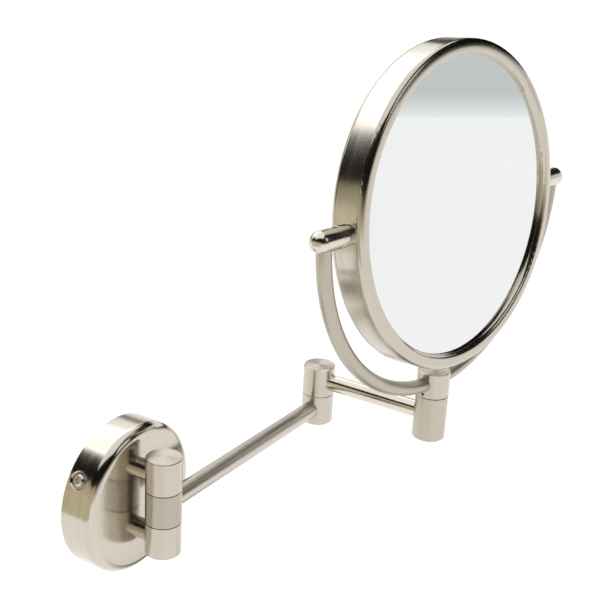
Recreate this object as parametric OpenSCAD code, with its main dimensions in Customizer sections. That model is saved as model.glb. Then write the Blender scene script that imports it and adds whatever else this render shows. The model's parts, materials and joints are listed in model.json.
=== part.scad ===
// Extendable shaving mirror for a bathroom wall.
// A round wall cover carries a swing arm in two straight lengths, and the arm carries a
// half-ring yoke with a two-sided round mirror that tilts in it.
// Millimetres. The origin is the centre of the wall face. +Z is up, +X runs along the wall,
// and the mirror reaches out from the wall towards -Y.

/* [Wall mount] */
// Diameter of the round wall cover
cover_d = 92; // [90:1:100]
// Depth of the cover, from the wall to its front face
cover_depth = 21.5; // [19:0.5:22]
// Metal thickness of the pressed cover
cover_wall = 1.2; // [1:0.1:1.4]
// Radius of the rounded front edge of the cover
cover_edge_r = 5.5; // [3:0.5:6]
// Diameter of the access hole for the cover screw, in the rim of the cover
access_hole_d = 10; // [9:0.5:11]
// How far round the rim the cover screw sits, measured up from the -X side
cover_screw_angle = 32; // [0:1:45]
// Distance of the cover screw from the wall
cover_screw_y = 7.5; // [6.5:0.5:8]
// Distance between the two wall screw holes, which lie one above the other
wall_hole_spacing = 62; // [58:1:64]
// Diameter of the wall screw holes
wall_hole_d = 5.5; // [4.5:0.5:6]

/* [Barrels] */
// Outer diameter of the hinge barrels
barrel_d = 21.6; // [21:0.2:23]
// Height of one barrel knuckle with its washer gap
knuckle_pitch = 20.8; // [20.4:0.2:22]
// Distance of the base barrel's axis from the wall
barrel_y = 37.5; // [37:0.5:40]
// How far the middle of the base barrel sits above the centre of the cover
barrel_rise = 1.5; // [0:0.5:2]
// Diameter of the two posts between the cover and the base barrel
post_d = 12; // [10:0.5:12]
// Distance between the two posts, one above the other
post_spacing = 40; // [38:1:42]

/* [Arms] */
// Diameter of the two straight arm rods
arm_d = 11.5; // [10:0.1:11.6]
// Length of the inner arm, from barrel axis to barrel axis
inner_len = 172; // [140:1:220]
// Length of the outer arm, from barrel axis to barrel axis
outer_len = 86; // [80:1:140]
// How far the outer rod lies below the middle of the upper elbow knuckle
outer_rod_drop = 0.7; // [0:0.1:1.5]
// How far the end knuckle stands up above the top of the elbow barrel
end_rise = 2.8; // [0:0.2:4]
// Height of the tall end knuckle, under the yoke hub
end_knuckle_h = 30.4; // [28:0.2:32]
// Height of the yoke hub
hub_h = 17.2; // [16.8:0.2:20]

/* [Yoke] */
// Radius of the half ring, from the tilt axis to the middle of the rod
yoke_radius = 118.8; // [117:0.2:122]
// Diameter of the yoke rod
yoke_rod_d = 9.3; // [8:0.1:9.5]
// Diameter of the pivot knobs
knob_d = 13; // [12.5:0.5:14]
// Length of a pivot knob, with its domed end
knob_len = 20; // [18:0.5:24]

/* [Mirror head] */
// Outer diameter of the mirror head
head_d = 203; // [200:1:203]
// Width of the side band of the head
band_w = 16; // [15:0.5:18]
// Diameter of the glass that shows inside the bezel
glass_view_d = 183.8; // [182:0.2:185]
// How far the rounded bezel stands out in front of the side band
bezel_rise = 3.5; // [3.5:0.1:4]
// Radius of the two rounded shoulders of the bezel, beside its nearly flat top
bezel_corner_r = 3.4; // [2.8:0.1:3.4]
// Thickness of the glass
glass_t = 3; // [2:0.5:3]
// Radius of curvature of the magnifying glass
magnifier_r = 900; // [800:50:1500]

/* [Pose] */
// Direction of the inner arm, measured from the wall's +X direction
inner_angle = 0; // [-90:1:5]
// Angle of the outer arm to the inner arm
elbow_angle = -90; // [-160:1:160]
// Angle of the yoke to the outer arm
yoke_angle = 80; // [-180:1:180]
// Upward tilt of the mirror
tilt_angle = 5.5; // [-180:0.5:180]

/* [Hidden] */

$fn = 96;

// Finishes
satin_nickel = "#bdb4a6";
bright_nickel = "#cfc9bf";
zinc_steel = "#9fa2a5";
nylon = "#ece8de";
silvered = "#dfe4e2";
black_plastic = "#2b2b2b";

// Fits: a pressed, brazed or screwed joint, a turning joint, and the play beside a washer
seat_gap = 0.02;
run_gap = 0.05;
end_play = 0.05;

// Wall mount
bracket_t = 2.5;
bracket_lip_h = 12;
bracket_lip_t = 2.2;
bracket_r = cover_d / 2 - cover_wall - 0.1;
rim_to_wall = 0.3;
access_chamfer = 0.8;
cover_screw_head_r = 3.25;
cover_screw_head_h = 1.9;
cover_screw_r = 2;
cover_screw_len = 6;
post_screw_r = 2.5;
post_screw_head_r = 4.6;
post_screw_head_h = 3;
post_washer_r = 5.5;
post_washer_t = 1;
post_bore_depth = 6.5;

// Barrels
barrel_r = barrel_d / 2;
barrel_chamfer = 0.5;
seam_chamfer = 0.2;
washer_gap = 0.3;
washer_r = barrel_r - 0.6;
socket_start = 6.2;
pin_r = 3;
pin_head_r = 4.8;
pin_head_h = 4;
pin_head_recess = 1;
pin_cap = 4;
pin_tip_gap = 0.5;
hex_r = 2.9;
hex_depth = 2.5;
spring_washer_t = 0.8;
counterbore_r = pin_head_r + 0.4;
counterbore_h = pin_head_recess + pin_head_h + spring_washer_t + 2 * end_play;
end_counterbore_h = counterbore_h + 6;

low_seam = -knuckle_pitch / 2;
mid_seam = knuckle_pitch / 2;
barrel_top = 1.5 * knuckle_pitch;
barrel_bottom = -1.5 * knuckle_pitch;
outer_rod_z = knuckle_pitch - outer_rod_drop;
end_top = barrel_top + end_rise;
end_bottom = end_top - end_knuckle_h;
hub_top = end_top + hub_h;

// Yoke and tilt pivots, placed along the tilt axis from the middle of the head
yoke_z = end_top + hub_h / 2;
pivot_z = yoke_z + yoke_radius;
yoke_rod_r = yoke_rod_d / 2;
knob_r = knob_d / 2;
head_r = head_d / 2;
bush_flange_t = 3.7;
bush_flange_r = knob_r - 0.1;
bush_sleeve_r = 3.5;
bush_sleeve_len = 3;
collar_r = knob_r + 0.3;
collar_t = 3.3;
collar_start = head_r + bush_flange_t + end_play;
knob_start = collar_start + collar_t + seat_gap;
tilt_screw_r = 2;
tilt_screw_head_r = 4;
tilt_screw_head_h = 2.4;
tilt_screw_end = knob_start + 10.5;
tilt_washer_end = head_r - bush_sleeve_len - end_play;
tilt_washer_start = tilt_washer_end - spring_washer_t;
knob_inset = 3.2;
arm_top_angle = asin(knob_inset / yoke_radius);
arm_hub_angle = asin(socket_start / yoke_radius);
arm_sweep = 90 - arm_top_angle - arm_hub_angle;
grub_r = 1;
grub_z = end_top + 2.6;
grub_start = pin_r + 0.5;

// Mirror head, measured forward from its middle plane
band_t = 1;
band_edge = 0.2;
bezel_t = 0.9;
bezel_chord = head_r - glass_view_d / 2;
bezel_reach = bezel_chord / 2 - bezel_corner_r;
bezel_spare = bezel_rise - bezel_corner_r;
bezel_top_r = (bezel_reach * bezel_reach + bezel_rise * bezel_rise
    - bezel_corner_r * bezel_corner_r) / (2 * bezel_spare);
bezel_top_angle = asin(bezel_reach / (bezel_top_r - bezel_corner_r));
bezel_mid_r = head_r - bezel_chord / 2;
bezel_mid_z = band_w / 2 + bezel_rise - bezel_top_r;
bezel_skirt_h = 3.5;
bezel_skirt_r = head_r - band_t - 0.05;
glass_front = band_w / 2 - 0.5;
glass_r = glass_view_d / 2 + 3.6;
lip_gap = 0.05;
carrier_r = bezel_skirt_r - bezel_t - 0.25;
carrier_inner_r = 86;
carrier_front_web = 4.3;
carrier_lip_h = 6.6;
carrier_lip_r = glass_r + 0.3;
magnifier_centre_z = glass_front + sqrt(magnifier_r * magnifier_r - glass_r * glass_r);
magnifier_back_r = magnifier_r + glass_t;
carrier_back_web = magnifier_centre_z - seat_gap
    - sqrt(magnifier_back_r * magnifier_back_r - carrier_inner_r * carrier_inner_r);
pocket_r = tilt_screw_head_r + 0.7;

// ---- Frames -------------------------------------------------------------------------------

// +Z of the children points out from the wall, and their +Y points up
module on_wall() {
    rotate([90, 0, 0]) children();
}

module at_base() {
    translate([0, -barrel_y, barrel_rise]) rotate([0, 0, inner_angle]) children();
}

module at_fixed_base() {
    translate([0, -barrel_y, barrel_rise]) children();
}

module at_elbow() {
    at_base() translate([inner_len, 0, 0]) children();
}

module at_outer_arm() {
    at_elbow() rotate([0, 0, elbow_angle]) children();
}

module at_end() {
    at_outer_arm() translate([outer_len, 0, 0]) children();
}

module at_yoke() {
    at_end() rotate([0, 0, yoke_angle]) children();
}

// X of the children is the tilt axis
module at_pivot() {
    at_yoke() translate([0, 0, pivot_z]) children();
}

module at_head() {
    at_pivot() rotate([-tilt_angle, 0, 0]) children();
}

// +Z of the children points forward out of the plain glass
module facing() {
    at_head() rotate([90, 0, 0]) children();
}

module facing_back() {
    at_head() rotate([-90, 0, 0]) children();
}

module left_side() {
    mirror([1, 0, 0]) children();
}

// +Z of the children points outward along the tilt axis
module along_tilt() {
    rotate([0, 90, 0]) children();
}

module at_cover_screw() {
    on_wall() rotate([0, 0, 180 - cover_screw_angle]) translate([0, 0, cover_screw_y])
        along_tilt() children();
}

// ---- Shared shapes ------------------------------------------------------------------------

module washer(outer_r, inner_r, t) {
    difference() {
        cylinder(r = outer_r, h = t);
        translate([0, 0, -1]) cylinder(r = inner_r, h = t + 2);
    }
}

// A turned cylinder from z0 to z1 with a chamfer at each end
module turned(r, z0, z1, low_chamfer, high_chamfer) {
    rotate_extrude()
        polygon([
            [0, z0],
            [r - low_chamfer, z0],
            [r, z0 + low_chamfer],
            [r, z1 - high_chamfer],
            [r - high_chamfer, z1],
            [0, z1]
        ]);
}

// Blind radial socket in a barrel, opening towards +X
module rod_socket(r) {
    translate([socket_start, 0, 0]) rotate([0, 90, 0]) cylinder(r = r + seat_gap, h = barrel_r);
}

module post_socket(z) {
    translate([0, 0, z]) rotate([0, 0, 90]) rod_socket(post_d / 2);
}

// Bore for a pivot screw, from z0 to z1
module pin_bore(z0, z1, gap) {
    translate([0, 0, z0]) cylinder(r = pin_r + gap, h = z1 - z0);
}

module counterbore(z, h) {
    translate([0, 0, z - 1]) cylinder(r = counterbore_r, h = h + 1);
}

// Socket-head pivot screw with its head at the bottom
module pivot_screw(head_z, tip_z) {
    difference() {
        union() {
            turned(pin_head_r, head_z, head_z + pin_head_h, 0.4, 0.1);
            turned(pin_r, head_z + pin_head_h - 1, tip_z, 0.1, 0.6);
        }
        translate([0, 0, head_z - 1]) cylinder(r = hex_r, h = hex_depth + 1, $fn = 6);
    }
}

module spring_washer_at(z) {
    translate([0, 0, z]) washer(pin_head_r, pin_r + run_gap, spring_washer_t);
}

module friction_washer_at(seam_z) {
    translate([0, 0, seam_z - washer_gap / 2 + end_play])
        washer(washer_r, pin_r + run_gap, washer_gap - 2 * end_play);
}

module cross_recess(span, width, depth) {
    for (turn = [0, 90])
        rotate([0, 0, turn]) translate([-span / 2, -width / 2, -depth])
            cube([span, width, depth + 1]);
}

// Arc of the yoke rod about the tilt axis, from one angle over a sweep, in the XZ plane
module yoke_arc(r, from_angle, sweep) {
    rotate([90, 0, 0]) rotate_extrude(angle = sweep, start = from_angle)
        translate([yoke_radius, 0]) circle(r = r);
}

// The right arm, or the socket for it when it is made longer and thicker
module right_arc(gap, extra) {
    yoke_arc(yoke_rod_r + gap, 270 + arm_hub_angle - extra, arm_sweep + 2 * extra);
}

// ---- Wall mount ---------------------------------------------------------------------------

module wall_bracket() {
    color(zinc_steel) difference() {
        on_wall() difference() {
            cylinder(r = bracket_r, h = bracket_lip_h);
            translate([0, 0, bracket_t]) cylinder(r = bracket_r - bracket_lip_t, h = bracket_lip_h);
            for (side = [-1, 1])
                translate([0, side * wall_hole_spacing / 2, -1])
                    cylinder(d = wall_hole_d, h = bracket_t + 2);
        }
        at_cover_screw() translate([0, 0, bracket_r - bracket_lip_t - 1])
            cylinder(r = cover_screw_r + seat_gap, h = bracket_lip_t + 2);
    }
}

module cover_profile(r, depth, edge_r) {
    square([r - edge_r, depth]);
    square([r, depth - edge_r]);
    intersection() {
        translate([r - edge_r, depth - edge_r]) circle(r = edge_r);
        square([r, depth]);
    }
}

module wall_cover() {
    color(satin_nickel) difference() {
        on_wall() difference() {
            rotate_extrude() difference() {
                cover_profile(cover_d / 2, cover_depth, cover_edge_r);
                cover_profile(cover_d / 2 - cover_wall, cover_depth - cover_wall,
                              cover_edge_r - cover_wall);
                square([cover_d, rim_to_wall]);
            }
            for (side = [-1, 1])
                translate([0, side * post_spacing / 2, cover_depth - cover_wall - 1])
                    cylinder(r = post_screw_r + 0.2, h = cover_wall + 2);
        }
        at_cover_screw() translate([0, 0, bracket_r - 1])
            cylinder(d = access_hole_d, h = cover_wall + 4);
        at_cover_screw() translate([0, 0, cover_d / 2 - access_chamfer])
            cylinder(r1 = access_hole_d / 2, r2 = access_hole_d / 2 + 2 * access_chamfer,
                     h = 2 * access_chamfer);
    }
}

module cover_screw() {
    color(bright_nickel) at_cover_screw() difference() {
        union() {
            turned(cover_screw_head_r, bracket_r + 0.1,
                   bracket_r + 0.1 + cover_screw_head_h, 0.1, 0.6);
            translate([0, 0, bracket_r - cover_screw_len])
                cylinder(r = cover_screw_r, h = cover_screw_len + 1);
        }
        translate([0, 0, bracket_r + 0.1 + cover_screw_head_h]) cross_recess(3.6, 0.9, 1.1);
    }
}

module post(side) {
    post_len = barrel_y - cover_depth - socket_start - seat_gap;
    color(satin_nickel) on_wall() translate([0, side * post_spacing / 2, cover_depth])
        difference() {
            cylinder(d = post_d, h = post_len);
            translate([0, 0, -1]) cylinder(r = post_screw_r + seat_gap, h = post_bore_depth + 1);
        }
}

module upper_post() {
    post(1);
}

module lower_post() {
    post(-1);
}

module post_screws() {
    head_z = cover_depth - cover_wall - post_washer_t - post_screw_head_h;
    color(zinc_steel) on_wall()
        for (side = [-1, 1])
            translate([0, side * post_spacing / 2, 0]) difference() {
                union() {
                    turned(post_screw_head_r, head_z, head_z + post_screw_head_h, 0.8, 0.1);
                    translate([0, 0, head_z + 1])
                        cylinder(r = post_screw_r,
                                 h = cover_depth + post_bore_depth - head_z - 1.5);
                }
                translate([0, 0, head_z]) mirror([0, 0, 1]) cross_recess(5, 1.2, 1.6);
            }
}

module post_washers() {
    color(zinc_steel) on_wall()
        for (side = [-1, 1])
            translate([0, side * post_spacing / 2, cover_depth - cover_wall - post_washer_t])
                washer(post_washer_r, post_screw_r + 0.2, post_washer_t);
}

// ---- Base barrel --------------------------------------------------------------------------

module upper_base_knuckle() {
    color(satin_nickel) at_fixed_base() difference() {
        turned(barrel_r, mid_seam + washer_gap / 2, barrel_top, seam_chamfer, barrel_chamfer);
        pin_bore(mid_seam - 1, barrel_top - pin_cap, seat_gap);
        post_socket(post_spacing / 2 - barrel_rise);
    }
}

module lower_base_knuckle() {
    color(satin_nickel) at_fixed_base() difference() {
        turned(barrel_r, barrel_bottom, low_seam - washer_gap / 2, barrel_chamfer, seam_chamfer);
        pin_bore(barrel_bottom - 1, low_seam + 1, run_gap);
        counterbore(barrel_bottom, counterbore_h);
        post_socket(-post_spacing / 2 - barrel_rise);
    }
}

module base_pivot_screw() {
    color(zinc_steel) at_fixed_base()
        pivot_screw(barrel_bottom + pin_head_recess, barrel_top - pin_cap - pin_tip_gap);
}

module base_spring_washer() {
    color(zinc_steel) at_fixed_base()
        spring_washer_at(barrel_bottom + counterbore_h - spring_washer_t - end_play);
}

module arm_base_knuckle() {
    color(satin_nickel) at_base() difference() {
        turned(barrel_r, low_seam + washer_gap / 2, mid_seam - washer_gap / 2,
               seam_chamfer, seam_chamfer);
        pin_bore(low_seam - 1, mid_seam + 1, run_gap);
        rod_socket(arm_d / 2);
    }
}

module base_friction_washers() {
    color(nylon) at_base()
        for (seam = [low_seam, mid_seam])
            friction_washer_at(seam);
}

// ---- Arms and elbow -----------------------------------------------------------------------

// A straight rod that reaches from the socket in one barrel to the socket in the next
module arm_rod(length) {
    rod_start = socket_start + seat_gap;
    translate([rod_start, 0, 0]) rotate([0, 90, 0])
        cylinder(d = arm_d, h = length - 2 * rod_start);
}

module inner_arm_rod() {
    color(satin_nickel) at_base() arm_rod(inner_len);
}

module elbow_lower_knuckle() {
    color(satin_nickel) at_elbow() difference() {
        turned(barrel_r, low_seam, mid_seam - washer_gap / 2, barrel_chamfer, seam_chamfer);
        pin_bore(low_seam - 1, mid_seam + 1, run_gap);
        counterbore(low_seam, counterbore_h);
        rotate([0, 0, 180]) rod_socket(arm_d / 2);
    }
}

module elbow_upper_knuckle() {
    color(satin_nickel) at_outer_arm() difference() {
        turned(barrel_r, mid_seam + washer_gap / 2, barrel_top, seam_chamfer, barrel_chamfer);
        pin_bore(mid_seam - 1, barrel_top - pin_cap, seat_gap);
        translate([0, 0, outer_rod_z]) rod_socket(arm_d / 2);
    }
}

module elbow_pivot_screw() {
    color(zinc_steel) at_outer_arm()
        pivot_screw(low_seam + pin_head_recess, barrel_top - pin_cap - pin_tip_gap);
}

module elbow_spring_washer() {
    color(zinc_steel) at_outer_arm()
        spring_washer_at(low_seam + counterbore_h - spring_washer_t - end_play);
}

module elbow_friction_washer() {
    color(nylon) at_outer_arm() friction_washer_at(mid_seam);
}

module outer_arm_rod() {
    color(bright_nickel) at_outer_arm() translate([0, 0, outer_rod_z]) arm_rod(outer_len);
}

module end_knuckle() {
    color(satin_nickel) at_end() difference() {
        turned(barrel_r, end_bottom, end_top - washer_gap / 2, barrel_chamfer, seam_chamfer);
        pin_bore(end_bottom - 1, end_top + 1, run_gap);
        counterbore(end_bottom, end_counterbore_h);
        translate([0, 0, outer_rod_z]) rotate([0, 0, 180]) rod_socket(arm_d / 2);
    }
}

// ---- Yoke ---------------------------------------------------------------------------------

module yoke_hub() {
    color(satin_nickel) difference() {
        at_yoke() difference() {
            turned(barrel_r, end_top + washer_gap / 2, hub_top, seam_chamfer, barrel_chamfer);
            pin_bore(end_top - 1, hub_top - pin_cap, seat_gap);
            translate([-barrel_r - 1, 0, grub_z]) rotate([0, 90, 0])
                cylinder(r = grub_r + seat_gap, h = barrel_r + 1 - pin_r);
        }
        at_pivot() right_arc(seat_gap, 0.05);
        at_pivot() left_side() right_arc(seat_gap, 0.05);
    }
}

module hub_grub_screw() {
    color(black_plastic) at_yoke() translate([-barrel_r + 0.5, 0, grub_z]) rotate([0, 90, 0])
        difference() {
            cylinder(r = grub_r, h = barrel_r - 0.5 - grub_start);
            translate([0, 0, -1]) cylinder(r = 0.5, h = 2, $fn = 6);
        }
}

module end_pivot_screw() {
    head_z = end_bottom + end_counterbore_h - spring_washer_t - 2 * end_play - pin_head_h;
    color(zinc_steel) at_yoke() pivot_screw(head_z, hub_top - pin_cap - pin_tip_gap);
}

module end_spring_washer() {
    color(zinc_steel) at_yoke()
        spring_washer_at(end_bottom + end_counterbore_h - spring_washer_t - end_play);
}

module end_friction_washer() {
    color(nylon) at_yoke() friction_washer_at(end_top);
}

module right_yoke_arm() {
    color(satin_nickel) at_pivot() right_arc(0, 0);
}

module left_yoke_arm() {
    color(satin_nickel) at_pivot() left_side() right_arc(0, 0);
}

// Bullet-shaped knob with a screwed bore on the tilt axis and a socket for the yoke rod
module knob() {
    difference() {
        translate([knob_start, 0, 0]) along_tilt() rotate_extrude() intersection() {
            union() {
                square([knob_r, knob_len - knob_r]);
                translate([0, knob_len - knob_r]) circle(r = knob_r);
            }
            square([knob_r, knob_len]);
        }
        translate([knob_start - 1, 0, 0]) along_tilt()
            cylinder(r = tilt_screw_r + seat_gap, h = tilt_screw_end - knob_start + 1.5);
        right_arc(seat_gap, 0.05);
    }
}

module right_pivot_knob() {
    color(bright_nickel) at_pivot() knob();
}

module left_pivot_knob() {
    color(bright_nickel) at_pivot() left_side() knob();
}

module collar() {
    translate([collar_start, 0, 0]) along_tilt() difference() {
        turned(collar_r, 0, collar_t, 0.4, 0.2);
        translate([0, 0, -1]) cylinder(r = tilt_screw_r + seat_gap, h = collar_t + 2);
    }
}

module right_pivot_collar() {
    color(bright_nickel) at_pivot() collar();
}

module left_pivot_collar() {
    color(bright_nickel) at_pivot() left_side() collar();
}

module tilt_screw() {
    head_start = tilt_washer_start - tilt_screw_head_h - end_play;
    along_tilt() difference() {
        union() {
            turned(tilt_screw_head_r, head_start, head_start + tilt_screw_head_h, 0.6, 0.1);
            translate([0, 0, head_start + 1])
                cylinder(r = tilt_screw_r, h = tilt_screw_end - head_start - 1);
        }
        translate([0, 0, head_start]) mirror([0, 0, 1]) cross_recess(4.4, 1, 1.3);
    }
}

module pivot_screws() {
    color(zinc_steel) at_pivot() {
        tilt_screw();
        left_side() tilt_screw();
    }
}

module tilt_washer() {
    translate([tilt_washer_start, 0, 0]) along_tilt()
        washer(tilt_screw_head_r, tilt_screw_r + run_gap, spring_washer_t);
}

module pivot_spring_washers() {
    color(zinc_steel) at_pivot() {
        tilt_washer();
        left_side() tilt_washer();
    }
}

// ---- Mirror head --------------------------------------------------------------------------

module head_band() {
    half_w = band_w / 2;
    color(satin_nickel) difference() {
        facing() rotate_extrude()
            polygon([
                [head_r - band_t, -half_w],
                [head_r - band_edge, -half_w],
                [head_r, -half_w + band_edge],
                [head_r, half_w - band_edge],
                [head_r - band_edge, half_w],
                [head_r - band_t, half_w]
            ]);
        at_head() along_tilt()
            translate([0, 0, -head_r - 1])
                cylinder(r = bush_sleeve_r + seat_gap, h = head_d + 2);
    }
}

// Solid outline of a bezel: a nearly flat crown between two rounded shoulders
module bezel_arch(inset) {
    wedge = bezel_top_r + 1;
    for (side = [-1, 1])
        translate([bezel_mid_r + side * bezel_reach, band_w / 2])
            circle(r = bezel_corner_r - inset);
    translate([bezel_mid_r, bezel_mid_z]) intersection() {
        circle(r = bezel_top_r - inset);
        polygon([
            [0, 0],
            [wedge * sin(bezel_top_angle), wedge * cos(bezel_top_angle)],
            [-wedge * sin(bezel_top_angle), wedge * cos(bezel_top_angle)]
        ]);
    }
}

// Pressed ring with a skirt inside the band and a lip that holds the glass
module bezel_profile() {
    difference() {
        intersection() {
            bezel_arch(0);
            translate([0, band_w / 2 + seat_gap]) square([head_d, bezel_rise + 1]);
        }
        bezel_arch(bezel_t);
    }
    translate([bezel_skirt_r - bezel_t, band_w / 2 - bezel_skirt_h])
        square([bezel_t, bezel_skirt_h + 2]);
    translate([glass_view_d / 2 + 0.05, glass_front + lip_gap])
        square([bezel_t, band_w / 2 - glass_front + 0.6]);
}

module front_bezel() {
    color(satin_nickel) facing() rotate_extrude() bezel_profile();
}

module rear_bezel() {
    color(satin_nickel) facing_back() rotate_extrude() bezel_profile();
}

module plain_glass() {
    color(silvered) facing() translate([0, 0, glass_front - glass_t])
        cylinder(r = glass_r, h = glass_t);
}

// Slumped glass of one thickness, hollow on the side that is looked into
module magnifying_glass() {
    color(silvered) facing_back() rotate_extrude() intersection() {
        translate([0, -band_w]) square([glass_r, 2 * band_w]);
        translate([0, magnifier_centre_z]) difference() {
            circle(r = magnifier_back_r, $fn = 1440);
            circle(r = magnifier_r, $fn = 1440);
        }
    }
}

// Ring between the two glasses, with a lip round each and a pocket for each screw head
module glass_carrier() {
    color(black_plastic) difference() {
        facing() difference() {
            rotate_extrude() {
                translate([carrier_inner_r, -carrier_back_web])
                    square([carrier_r - carrier_inner_r, carrier_front_web + carrier_back_web]);
                translate([carrier_lip_r, -carrier_lip_h])
                    square([carrier_r - carrier_lip_r, 2 * carrier_lip_h]);
            }
        }
        at_head() for (side = [0, 180])
            rotate([0, 0, side]) along_tilt() translate([0, 0, carrier_inner_r - 1])
                cylinder(r = pocket_r, h = head_r);
    }
}

module bush() {
    difference() {
        union() {
            difference() {
                translate([head_r - 0.5, 0, 0]) along_tilt()
                    turned(bush_flange_r, 0, bush_flange_t + 0.5, 0, 0.2);
                rotate([90, 0, 0]) translate([0, 0, -band_w])
                    cylinder(r = head_r + seat_gap, h = 2 * band_w);
            }
            translate([head_r - bush_sleeve_len, 0, 0]) along_tilt()
                cylinder(r = bush_sleeve_r, h = bush_sleeve_len + 1);
        }
        translate([head_r - bush_sleeve_len - 1, 0, 0]) along_tilt()
            cylinder(r = tilt_screw_r + run_gap, h = bush_sleeve_len + bush_flange_t + 2);
    }
}

module right_pivot_bush() {
    color(bright_nickel) at_head() bush();
}

module left_pivot_bush() {
    color(bright_nickel) at_head() left_side() bush();
}

// ---- Nodes --------------------------------------------------------------------------------

wall_bracket();
wall_cover();
cover_screw();
upper_post();
lower_post();
post_screws();
post_washers();
upper_base_knuckle();
lower_base_knuckle();
base_pivot_screw();
base_spring_washer();
arm_base_knuckle();
base_friction_washers();
inner_arm_rod();
elbow_lower_knuckle();
elbow_upper_knuckle();
elbow_pivot_screw();
elbow_spring_washer();
elbow_friction_washer();
outer_arm_rod();
end_knuckle();
yoke_hub();
end_pivot_screw();
end_spring_washer();
end_friction_washer();
hub_grub_screw();
left_yoke_arm();
right_yoke_arm();
left_pivot_knob();
right_pivot_knob();
left_pivot_collar();
right_pivot_collar();
pivot_screws();
pivot_spring_washers();
head_band();
front_bezel();
rear_bezel();
plain_glass();
magnifying_glass();
glass_carrier();
left_pivot_bush();
right_pivot_bush();
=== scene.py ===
import json
import math

import bpy
from mathutils import Matrix, Vector


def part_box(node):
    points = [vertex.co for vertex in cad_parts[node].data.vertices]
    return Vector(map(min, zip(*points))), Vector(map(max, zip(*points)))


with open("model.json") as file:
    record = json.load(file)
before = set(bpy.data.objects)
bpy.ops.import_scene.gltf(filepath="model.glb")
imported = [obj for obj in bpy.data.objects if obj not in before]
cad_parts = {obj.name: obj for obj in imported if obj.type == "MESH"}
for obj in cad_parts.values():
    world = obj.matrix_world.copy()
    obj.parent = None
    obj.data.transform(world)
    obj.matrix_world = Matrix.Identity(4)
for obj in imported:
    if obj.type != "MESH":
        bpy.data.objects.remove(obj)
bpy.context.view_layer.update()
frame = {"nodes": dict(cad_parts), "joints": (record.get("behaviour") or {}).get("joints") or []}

# ---- Camera: the place that the photograph was taken from, in the row frame ----------------

CAMERA_PLACE = Vector((-0.473878, -0.409037, 0.351389))
CAMERA_YAW = math.radians(31.150)
CAMERA_PITCH = math.radians(-20.079)
CAMERA_ROLL = math.radians(3.166)
SENSOR_WIDTH = 36.0
LENS = 70.15

# ---- Finishes ------------------------------------------------------------------------------

NICKEL = (0.615, 0.565, 0.49)
# The two darker nickels below are the same satin nickel with painted shade, used on the middle
# base knuckle, the end knuckle, the yoke arms and the bezels
SHADED_NICKEL = (0.56, 0.515, 0.44)
DEEP_SHADED_NICKEL = (0.50, 0.46, 0.39)
BRIGHT_NICKEL = (0.69, 0.645, 0.57)
ZINC = (0.60, 0.61, 0.63)
NYLON = (0.85, 0.83, 0.77)
SILVER = (0.77, 0.79, 0.787)
BLACK_PLASTIC = (0.018, 0.018, 0.019)
BLACK_OXIDE = (0.03, 0.03, 0.032)

UP = Vector((0, 0, 1))
OUT = Vector((0, -1, 0))
ALONG_WALL = Vector((1, 0, 0))

# Brushing lines to a millimetre: the finest that can be told apart, and the wide streaks
FINE_LINES = 0.9
WIDE_LINES = 0.3
FINE_SHARE = 0.6
# How much the lines change on the way round the axis
ROUND_DRIFT = 2.2
# Handling marks to a metre
MARKS = 38.0
MM_PER_M = 1000.0
# Range of roughness on plain fasteners and on the knobs, collars and bushes of the pivots
FASTENER_ROUGH = (0.3, 0.42)
PIVOT_ROUGH = (0.17, 0.23)


class Shader:
    """A node material that is built a step at a time, with its Principled shader at hand."""

    def __init__(self, name):
        self.material = bpy.data.materials.new(name)
        self.material.use_nodes = True
        self.tree = self.material.node_tree
        self.surface = self.tree.nodes["Principled BSDF"]
        coordinates = self.tree.nodes.new("ShaderNodeTexCoord")
        self.place = coordinates.outputs["Object"]

    def feed(self, socket, value):
        if isinstance(value, bpy.types.NodeSocket):
            self.tree.links.new(value, socket)
        else:
            socket.default_value = value

    def math(self, operation, a, b=0.0):
        node = self.tree.nodes.new("ShaderNodeMath")
        node.operation = operation
        self.feed(node.inputs[0], a)
        self.feed(node.inputs[1], b)
        return node.outputs[0]

    def vector(self, operation, a, b=(0, 0, 0), scale=1.0):
        node = self.tree.nodes.new("ShaderNodeVectorMath")
        node.operation = operation
        self.feed(node.inputs[0], a)
        self.feed(node.inputs[1], b)
        if operation == "SCALE":
            self.feed(node.inputs["Scale"], scale)
        return node.outputs["Value" if operation in ("DOT_PRODUCT", "LENGTH") else "Vector"]

    def noise(self, place, scale, detail=2.0, w=None):
        node = self.tree.nodes.new("ShaderNodeTexNoise")
        node.noise_dimensions = "3D" if w is None else "4D"
        self.feed(node.inputs["Vector"], place)
        node.inputs["Scale"].default_value = scale
        node.inputs["Detail"].default_value = detail
        if w is not None:
            self.feed(node.inputs["W"], w)
        return node.outputs["Fac"]

    def spread(self, value, low, high, from_low=0.3, from_high=0.7):
        node = self.tree.nodes.new("ShaderNodeMapRange")
        self.feed(node.inputs["Value"], value)
        for name, number in (("From Min", from_low), ("From Max", from_high),
                             ("To Min", low), ("To Max", high)):
            node.inputs[name].default_value = number
        return node.outputs["Result"]

    def tone(self, colour, factor):
        """The colour, made lighter or darker by a factor that varies over the surface."""
        return self.vector("SCALE", colour, scale=factor)

    def bump(self, height, distance, strength=1.0):
        node = self.tree.nodes.new("ShaderNodeBump")
        node.inputs["Strength"].default_value = strength
        node.inputs["Distance"].default_value = distance
        self.feed(node.inputs["Height"], height)
        self.feed(self.surface.inputs["Normal"], node.outputs["Normal"])

    def set(self, **values):
        for name, value in values.items():
            self.feed(self.surface.inputs[name.replace("_", " ")], value)


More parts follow.
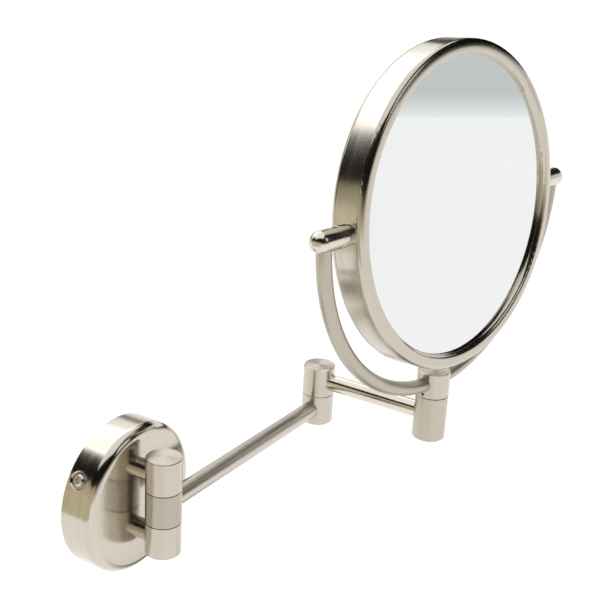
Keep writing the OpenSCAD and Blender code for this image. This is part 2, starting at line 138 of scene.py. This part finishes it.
def around(shader, centre, axis):
    """Groove direction, height along the axis and radius, all for lines that run round an axis."""
    offset = shader.vector("SUBTRACT", shader.place, centre)
    height = shader.vector("DOT_PRODUCT", offset, axis)
    along = shader.vector("SCALE", axis, scale=height)
    radial = shader.vector("SUBTRACT", offset, along)
    radius = shader.vector("LENGTH", radial)
    outward = shader.vector("NORMALIZE", radial)
    groove = shader.vector("CROSS_PRODUCT", axis, outward)
    return groove, outward, height, radius


def lay_tangent(shader, groove):
    """Turns the shader's stretch across the grooves, which is how brushed metal spreads light."""
    turned = shader.tree.nodes.new("ShaderNodeVectorTransform")
    turned.vector_type = "VECTOR"
    turned.convert_from = "OBJECT"
    turned.convert_to = "WORLD"
    shader.feed(turned.inputs[0], groove)
    geometry = shader.tree.nodes.new("ShaderNodeNewGeometry")
    across = shader.vector("CROSS_PRODUCT", geometry.outputs["Normal"], turned.outputs[0])
    shader.feed(shader.surface.inputs["Tangent"], across)


def brushed(name, colour, centre, axis, rough=(0.26, 0.34), stretch=0.7, line=0.000006,
            contrast=0.07):
    """Metal with fine lines that run round an axis, faint wide streaks and handling marks."""
    shader = Shader(name)
    groove, outward, height, radius = around(shader, centre, axis)
    lay_tangent(shader, groove)
    axial = shader.vector("SCALE", axis, scale=shader.math("MULTIPLY", height, MM_PER_M))
    round_about = shader.vector("SCALE", outward, scale=ROUND_DRIFT)
    ring = shader.math("MULTIPLY", radius, MM_PER_M)
    place = shader.vector("ADD", axial, round_about)
    fine = shader.noise(place, FINE_LINES, 1.0, w=shader.math("MULTIPLY", ring, FINE_LINES))
    wide = shader.noise(place, WIDE_LINES, 1.0, w=shader.math("MULTIPLY", ring, WIDE_LINES))
    marks = shader.noise(shader.place, MARKS, 3.0)
    streak = shader.math("ADD", shader.math("MULTIPLY", fine, FINE_SHARE),
                         shader.math("MULTIPLY", wide, 1 - FINE_SHARE))
    shade = shader.math("MULTIPLY", shader.spread(streak, 1 - contrast, 1 + contrast * 0.6),
                        shader.spread(marks, 0.965, 1.01))
    shader.set(Base_Color=shader.tone(colour, shade), Metallic=1.0, Anisotropic=stretch,
               Roughness=shader.math("ADD", shader.spread(streak, rough[0], rough[1]),
                                     shader.spread(marks, -0.015, 0.02)))
    if line:
        shader.bump(fine, line)
    return shader.material


def polished(name, colour, centre, axis, rough=(0.12, 0.17), contrast=0.02):
    """Bright plated metal with the ghost of its turning lines and a light haze of wear."""
    return brushed(name, colour, centre, axis, rough, stretch=0.25, line=0.000001,
                   contrast=contrast)


def plated_zinc(name, centre, axis):
    return brushed(name, ZINC, centre, axis, FASTENER_ROUGH, stretch=0.3)


def mirror_glass(name):
    """Silvered glass with a breath of haze and a few specks of dust."""
    shader = Shader(name)
    haze = shader.noise(shader.place, 14.0, 4.0)
    specks = shader.noise(shader.place, 420.0, 1.0)
    dust = shader.spread(specks, 0.0, 1.0, 0.76, 0.80)
    shade = shader.math("SUBTRACT", shader.spread(haze, 0.985, 1.0),
                        shader.math("MULTIPLY", dust, 0.10))
    shader.set(Base_Color=shader.tone(SILVER, shade), Metallic=1.0,
               Roughness=shader.math("ADD", shader.spread(haze, 0.004, 0.014),
                                     shader.math("MULTIPLY", dust, 0.10)))
    return shader.material


def moulded(name, colour, rough=(0.42, 0.58), grain=0.00002):
    """Moulded plastic, or a chemical black, with a fine pebbled surface."""
    shader = Shader(name)
    pebble = shader.noise(shader.place, 2600.0, 2.0)
    drift = shader.noise(shader.place, 60.0, 3.0)
    shader.set(Base_Color=shader.tone(colour, shader.spread(drift, 0.88, 1.08)), Metallic=0.0,
               Roughness=shader.spread(drift, rough[0], rough[1]))
    shader.bump(pebble, grain, 0.5)
    return shader.material


# ---- Places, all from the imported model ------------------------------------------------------

def middle(node):
    low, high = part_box(node)
    return (low + high) / 2


def joint(name):
    return next(j for j in frame["joints"] if j["name"] == name)


BASE = Vector(joint("wall_swivel")["pos_m"])
ELBOW = Vector(joint("elbow_swivel")["pos_m"])
END = Vector(joint("yoke_swivel")["pos_m"])
PIVOT = Vector(joint("mirror_tilt")["pos_m"])
TILT_AXIS = Vector(joint("mirror_tilt")["axis"]).normalized()
YOKE_FRONT = TILT_AXIS.cross(UP)
COVER = middle("wall_cover")


def head_front():
    """Direction that the plain glass faces, from the two bezels' middles."""
    return (middle("front_bezel") - middle("rear_bezel")).normalized()


def dress(node, material):
    mesh = frame["nodes"][node].data
    mesh.materials.clear()
    mesh.materials.append(material)


def dress_all():
    face = head_front()
    for node in ("upper_base_knuckle", "lower_base_knuckle"):
        dress(node, brushed("satin_" + node, NICKEL, BASE, UP))
    dress("arm_base_knuckle", brushed("satin_arm_base_knuckle", DEEP_SHADED_NICKEL, BASE, UP))
    for node in ("elbow_lower_knuckle", "elbow_upper_knuckle"):
        dress(node, brushed("satin_" + node, NICKEL, ELBOW, UP))
    dress("end_knuckle", brushed("satin_end_knuckle", SHADED_NICKEL, END, UP))
    dress("yoke_hub", brushed("satin_yoke_hub", NICKEL, END, UP))
    dress("wall_cover", brushed("satin_wall_cover", NICKEL, COVER, OUT, (0.14, 0.19),
                                stretch=0.5, line=0.000002))
    for node in ("upper_post", "lower_post"):
        dress(node, brushed("satin_" + node, NICKEL, middle(node), OUT, (0.18, 0.26)))
    dress("inner_arm_rod", brushed("satin_inner_arm_rod", NICKEL, middle("inner_arm_rod"),
                                   ALONG_WALL, (0.3, 0.36), stretch=0.0, line=0.0,
                                   contrast=0.03))
    dress("outer_arm_rod", polished("bright_outer_arm_rod", BRIGHT_NICKEL,
                                    middle("outer_arm_rod"), OUT))
    for node in ("left_yoke_arm", "right_yoke_arm"):
        dress(node, brushed("satin_" + node, DEEP_SHADED_NICKEL, PIVOT, YOKE_FRONT, (0.34, 0.4),
                            stretch=0.3, line=0.000002))
    dress("head_band", brushed("satin_head_band", NICKEL, PIVOT, face, (0.18, 0.24),
                               stretch=0.6, line=0.000003))
    for node in ("front_bezel", "rear_bezel"):
        dress(node, brushed("satin_" + node, SHADED_NICKEL, PIVOT, face, (0.15, 0.2),
                            stretch=0.3, line=0.0, contrast=0.03))
    for side in ("left", "right"):
        for kind in ("knob", "collar", "bush"):
            node = side + "_pivot_" + kind
            dress(node, polished("bright_" + node, BRIGHT_NICKEL, PIVOT, TILT_AXIS,
                                 PIVOT_ROUGH))
    dress("cover_screw", polished("bright_cover_screw", BRIGHT_NICKEL, middle("cover_screw"), UP,
                                  (0.1, 0.18)))
    for node in ("wall_bracket", "post_screws", "post_washers"):
        dress(node, plated_zinc("zinc_" + node, COVER, OUT))
    for node, place in (("base_pivot_screw", BASE), ("base_spring_washer", BASE),
                        ("elbow_pivot_screw", ELBOW), ("elbow_spring_washer", ELBOW),
                        ("end_pivot_screw", END), ("end_spring_washer", END)):
        dress(node, plated_zinc("zinc_" + node, place, UP))
    for node in ("pivot_screws", "pivot_spring_washers"):
        dress(node, plated_zinc("zinc_" + node, PIVOT, TILT_AXIS))
    for node in ("base_friction_washers", "elbow_friction_washer", "end_friction_washer"):
        dress(node, moulded("nylon_" + node, NYLON))
    for node in ("plain_glass", "magnifying_glass"):
        dress(node, mirror_glass("mirror_" + node))
    dress("glass_carrier", moulded("black_plastic_glass_carrier", BLACK_PLASTIC))
    dress("hub_grub_screw", moulded("black_oxide_hub_grub_screw", BLACK_OXIDE,
                                    FASTENER_ROUGH))


# ---- Studio ----------------------------------------------------------------------------------

FORWARD = Vector((math.cos(CAMERA_YAW), math.sin(CAMERA_YAW), 0))
RIGHT = Vector((math.sin(CAMERA_YAW), -math.cos(CAMERA_YAW), 0))
FLOOR_Z = -0.30
STUDIO_MIDDLE = Vector((0.10, -0.08, 0.08))
FLOOR_RADIUS = 12.0
DOME_RADIUS = 14.0
DOME_RINGS = 12
DOME_SIDES = 48
WHITE = (1, 1, 1)
FLOOR_WHITE = (1, 1, 0.99)
FLOOR_LEVEL = 1.12

# The soft shadow under the head: its middle, its reach, and the radius of its even core
SHADOW_PLACE = (0.25, -0.13, FLOOR_Z + 0.002)
SHADOW_RADIUS = 0.17
SHADOW_CORE = 0.03
SHADOW_LEVEL = 0.12

# The grey wall: which way it stands, how far off, how far it leans and slides sideways, and
# its two sides and its height
GREY_WALL_TOWARD = math.radians(-49.0)
GREY_WALL_DISTANCE = 3.0
GREY_WALL_LEAN = math.radians(4.9)
GREY_WALL_SHIFT = 0.24
GREY_WALL_LEFT, GREY_WALL_RIGHT = -1.2, 0.65
GREY_WALL_HEIGHT = 0.25


def shine(shader, colour, strength, base=0.0):
    """Makes a surface give its own light and mirror nothing."""
    shader.set(Base_Color=(base, base, base, 1), Roughness=1.0, Specular_IOR_Level=0.0,
               Emission_Color=(*colour, 1), Emission_Strength=strength)


def unseen_by(thing, *rays):
    for kind in rays:
        setattr(thing, "visible_" + kind, False)


def disc(name, radius, z, sides=96):
    mesh = bpy.data.meshes.new(name)
    turns = [2 * math.pi * i / sides for i in range(sides)]
    rim = [(radius * math.cos(turn), radius * math.sin(turn), z) for turn in turns]
    mesh.from_pydata(rim, [], [list(range(sides))])
    thing = bpy.data.objects.new(name, mesh)
    bpy.context.scene.collection.objects.link(thing)
    return thing


def add_floor():
    floor = disc("floor", FLOOR_RADIUS, FLOOR_Z)
    shader = Shader("pale_floor")
    cloud = shader.noise(shader.place, 0.4, 2.0)
    shine(shader, FLOOR_WHITE, shader.spread(cloud, FLOOR_LEVEL - 0.02, FLOOR_LEVEL + 0.02),
          base=0.05)
    floor.data.materials.append(shader.material)


def add_backdrop():
    """A pale dome that only the camera sees, so that the metal can mirror the dark studio."""
    mesh = bpy.data.meshes.new("backdrop")
    points = []
    for ring in range(DOME_RINGS + 1):
        lift = math.pi * (ring / DOME_RINGS - 0.5)
        for side in range(DOME_SIDES):
            turn = 2 * math.pi * side / DOME_SIDES
            points.append((DOME_RADIUS * math.cos(lift) * math.cos(turn),
                           DOME_RADIUS * math.cos(lift) * math.sin(turn),
                           DOME_RADIUS * math.sin(lift)))
    faces = []
    for below in range(0, DOME_RINGS * DOME_SIDES, DOME_SIDES):
        above = below + DOME_SIDES
        for side in range(DOME_SIDES):
            after = (side + 1) % DOME_SIDES
            faces.append((below + side, below + after, above + after, above + side))
    mesh.from_pydata(points, [], faces)
    dome = bpy.data.objects.new("backdrop", mesh)
    bpy.context.scene.collection.objects.link(dome)
    shader = Shader("pale_backdrop")
    shine(shader, WHITE, 1.02)
    shader.material.cycles.emission_sampling = "NONE"
    mesh.materials.append(shader.material)
    unseen_by(dome, "diffuse", "glossy", "transmission", "shadow", "volume_scatter")


def panel(name, centre, facing, width, height, level, upright=UP):
    """A white soft box of one even brightness. It shines along facing, with upright as its up."""
    light = bpy.data.lights.new(name, "AREA")
    light.shape = "RECTANGLE"
    light.size = width
    light.size_y = height
    light.energy = level * math.pi * width * height
    thing = bpy.data.objects.new(name, light)
    back = -facing.normalized()
    across = upright.cross(back).normalized()
    turn = Matrix((across, back.cross(across), back)).transposed().to_4x4()
    thing.matrix_world = Matrix.Translation(centre) @ turn
    thing.visible_camera = False
    bpy.context.scene.collection.objects.link(thing)


def spot(right, forward, z):
    """A place in the camera's own level directions, measured from the row frame's origin."""
    return RIGHT * right + FORWARD * forward + UP * z


def glowing(name, strip, level, colour):
    """Gives a studio wall its light, which is seen in the metal but not by the camera.

    The level is a low height, a high height, and the brightness at each of them.
    """
    shader = Shader(name)
    height = shader.vector("DOT_PRODUCT", shader.place, UP)
    low, high, level_low, level_high = level
    shine(shader, colour, shader.spread(height, level_low, level_high, low, high))
    strip.data.materials.append(shader.material)
    unseen_by(strip, "camera", "diffuse", "shadow")
    bpy.context.scene.collection.objects.link(strip)


def curved_wall(name, azimuths, distance, heights, level, colour=WHITE, steps=24):
    """An upright wall round the object, from one azimuth in degrees to another."""
    start, end = (math.radians(a) for a in azimuths)
    points = []
    for step in range(steps + 1):
        turn = start + (end - start) * step / steps
        for z in heights:
            points.append((STUDIO_MIDDLE.x + distance * math.cos(turn),
                           STUDIO_MIDDLE.y + distance * math.sin(turn), z))
    faces = [(2 * i, 2 * i + 2, 2 * i + 3, 2 * i + 1) for i in range(steps)]
    mesh = bpy.data.meshes.new(name)
    mesh.from_pydata(points, [], faces)
    glowing(name, bpy.data.objects.new(name, mesh), level, colour)


def add_grey_wall():
    """The grey wall that the plain glass mirrors above the pale floor. It leans a little."""
    mesh = bpy.data.meshes.new("grey_wall")
    mesh.from_pydata([(GREY_WALL_LEFT, 0, 0), (GREY_WALL_RIGHT, 0, 0),
                      (GREY_WALL_RIGHT, 0, GREY_WALL_HEIGHT),
                      (GREY_WALL_LEFT, 0, GREY_WALL_HEIGHT)], [], [(0, 1, 2, 3)])
    wall = bpy.data.objects.new("grey_wall", mesh)
    lean = Matrix.Rotation(GREY_WALL_LEAN, 4, "Y")
    turn = Matrix.Rotation(GREY_WALL_TOWARD + math.pi / 2, 4, "Z")
    toward = Vector((math.cos(GREY_WALL_TOWARD), math.sin(GREY_WALL_TOWARD), 0))
    across = Vector((-math.sin(GREY_WALL_TOWARD), math.cos(GREY_WALL_TOWARD), 0))
    place = toward * GREY_WALL_DISTANCE + across * GREY_WALL_SHIFT
    wall.matrix_world = Matrix.Translation(place) @ turn @ lean
    glowing("grey_wall", wall, (0.0, 0.07, 1.03, 0.71), (0.97, 1, 0.985))


def add_soft_shadow():
    """The head's own soft shadow on the floor, which the wall cover mirrors near its foot."""
    shadow = disc("soft_shadow", SHADOW_RADIUS, 0.0)
    shadow.location = SHADOW_PLACE
    shader = Shader("soft_shadow")
    reach = shader.vector("LENGTH", shader.place)
    shine(shader, FLOOR_WHITE,
          shader.spread(reach, SHADOW_LEVEL, FLOOR_LEVEL, SHADOW_CORE, SHADOW_RADIUS))
    shader.material.cycles.emission_sampling = "NONE"
    shadow.data.materials.append(shader.material)
    unseen_by(shadow, "camera", "diffuse", "shadow")


def add_lights():
    """Two soft boxes, and the walls whose edges draw the dark and bright bands in the metal."""
    panel("overhead_softbox", spot(-0.085, 0.21, 0.79), facing=-UP, width=1.07, height=1.22,
          level=1.16, upright=FORWARD)
    panel("front_softbox", Vector((0.40, -1.13, 0.80)), facing=Vector((-0.23, 0.85, -0.48)),
          width=0.5, height=0.5, level=0.95)
    curved_wall("left_wall", azimuths=(128, 215), distance=0.9, heights=(-0.28, 0.38),
                level=(0.1, 0.38, 0.72, 0.5), colour=(1.0, 0.91, 0.66))
    curved_wall("front_wall", azimuths=(-150, -62), distance=1.0, heights=(0.02, 0.34),
                level=(0.04, 0.32, 0.9, 0.0), colour=(1.0, 0.95, 0.85))
    curved_wall("low_back_wall", azimuths=(18, 110), distance=2.2, heights=(-0.29, 0.70),
                level=(0.2, 0.6, 1.05, 0.22), colour=(1.0, 0.96, 0.88))
    curved_wall("high_back_wall", azimuths=(29, 112), distance=2.2, heights=(0.70, 3.0),
                level=(0.75, 1.1, 0.22, 1.3))
    curved_wall("right_wall", azimuths=(-34, 30), distance=0.5, heights=(0.10, 0.27),
                level=(0.10, 0.27, 1.25, 1.0))
    world = bpy.data.worlds.new("dark_studio")
    world.use_nodes = True
    world.node_tree.nodes["Background"].inputs["Color"].default_value = (0.006, 0.006, 0.005, 1)
    bpy.context.scene.world = world


def add_camera():
    pitch_c, pitch_s = math.cos(CAMERA_PITCH), math.sin(CAMERA_PITCH)
    forward = FORWARD * pitch_c + UP * pitch_s
    upright = RIGHT.cross(forward)
    right = math.cos(CAMERA_ROLL) * RIGHT + math.sin(CAMERA_ROLL) * upright
    up = math.cos(CAMERA_ROLL) * upright - math.sin(CAMERA_ROLL) * RIGHT
    data = bpy.data.cameras.new("camera")
    data.sensor_width = SENSOR_WIDTH
    data.lens = LENS
    camera = bpy.data.objects.new("camera", data)
    turn = Matrix((right, up, -forward)).transposed().to_4x4()
    camera.matrix_world = Matrix.Translation(CAMERA_PLACE) @ turn
    bpy.context.scene.collection.objects.link(camera)
    bpy.context.scene.camera = camera


dress_all()
add_floor()
add_backdrop()
add_grey_wall()
add_soft_shadow()
add_lights()
add_camera()
bpy.context.scene.view_settings.view_transform = "Standard"

bpy.context.view_layer.update()
